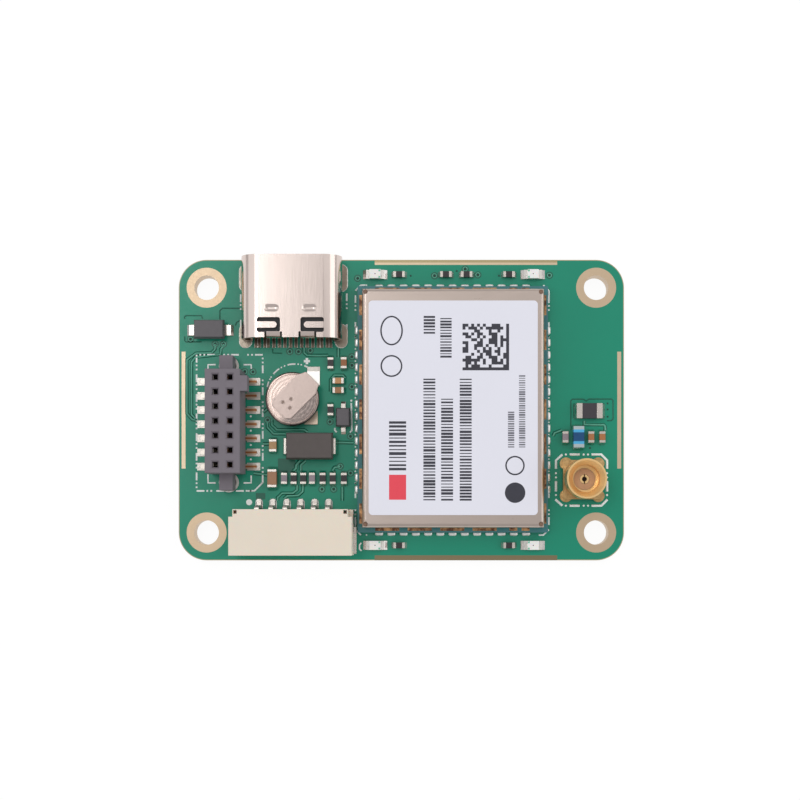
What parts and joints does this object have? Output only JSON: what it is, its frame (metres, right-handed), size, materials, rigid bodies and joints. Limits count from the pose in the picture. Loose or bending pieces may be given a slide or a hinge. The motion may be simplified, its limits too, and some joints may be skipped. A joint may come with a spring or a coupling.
{
  "type": "satellite positioning module",
  "caption": "Small green circuit board with a shielded positioning receiver, USB and wire connectors, a pin socket, an antenna jack and a backup cell, for bolting down at its corners.",
  "frame": {"origin": "centre of the four mounting holes, on the board's underside", "axes": "+X along the board's long side, towards the antenna jack; +Y towards the edge with the USB connector; +Z out of the component side"},
  "size_m": [0.04, 0.027, 0.006],
  "materials": {
    "green_mask": "satin",
    "teal_mask": "satin",
    "gold_plating": "satin",
    "copper_pads": "satin",
    "tin_plating": "satin",
    "solder": "bright",
    "shield_steel": "satin",
    "label_film": "matte",
    "black_epoxy": "matte",
    "crystal_can": "satin",
    "filter_ceramic": "matte",
    "usb_steel": "bright",
    "black_plastic": "matte",
    "contact_bronze": "satin",
    "grey_plastic": "matte",
    "cream_plastic": "matte",
    "jack_gold": "bright",
    "jack_insulator": "matte",
    "cell_steel": "satin",
    "tab_steel": "satin",
    "brown_epoxy": "matte",
    "led_base": "satin",
    "led_lens": "gloss",
    "resistor_glass": "satin",
    "brown_ceramic": "matte",
    "grey_ferrite": "matte",
    "blue_ceramic": "satin"
  },
  "bodies": {
    "root": {"board": "green_mask", "mounting_hole_plating": "tin_plating", "edge_strips": "gold_plating", "module_solder": "solder", "module_board": "teal_mask", "module_shield_pads": "copper_pads", "module_shield": "shield_steel", "module_label": "label_film", "receiver_chip": "black_epoxy", "memory_chip": "black_epoxy", "oscillator": "crystal_can", "rf_filters": "filter_ceramic", "usb_shell": "usb_steel", "usb_insulator": "black_plastic", "usb_latch_plate": "usb_steel", "usb_upper_contacts": "contact_bronze", "usb_lower_contacts": "contact_bronze", "usb_stake_solder": "solder", "socket_housing": "grey_plastic", "socket_contacts": "contact_bronze", "socket_peg_plating": "tin_plating", "wire_housing": "cream_plastic", "wire_contacts": "tin_plating", "wire_anchors": "tin_plating", "jack_body": "jack_gold", "jack_insulator": "jack_insulator", "jack_contact": "jack_gold", "backup_cell": "cell_steel", "cell_top_tab": "tab_steel", "cell_bottom_tab": "tab_steel", "large_diode_body": "black_epoxy", "large_diode_leads": "tin_plating", "medium_diode_body": "brown_epoxy", "medium_diode_leads": "tin_plating", "small_diode_body": "brown_epoxy", "small_diode_leads": "tin_plating", "led_base_1": "led_base", "led_base_2": "led_base", "led_base_3": "led_base", "led_base_4": "led_base", "led_lens_1": "led_lens", "led_lens_2": "led_lens", "led_lens_3": "led_lens", "led_lens_4": "led_lens", "led_terminals": "tin_plating", "resistor_bodies": "resistor_glass", "resistor_caps": "tin_plating", "capacitor_bodies": "brown_ceramic", "capacitor_caps": "tin_plating", "bead_bodies": "grey_ferrite", "bead_caps": "tin_plating", "inductor_body": "blue_ceramic", "inductor_caps": "tin_plating", "fuse_body": "black_epoxy", "fuse_caps": "tin_plating", "connector_solder": "solder", "chip_solder": "solder"}
  },
  "joints": []
}
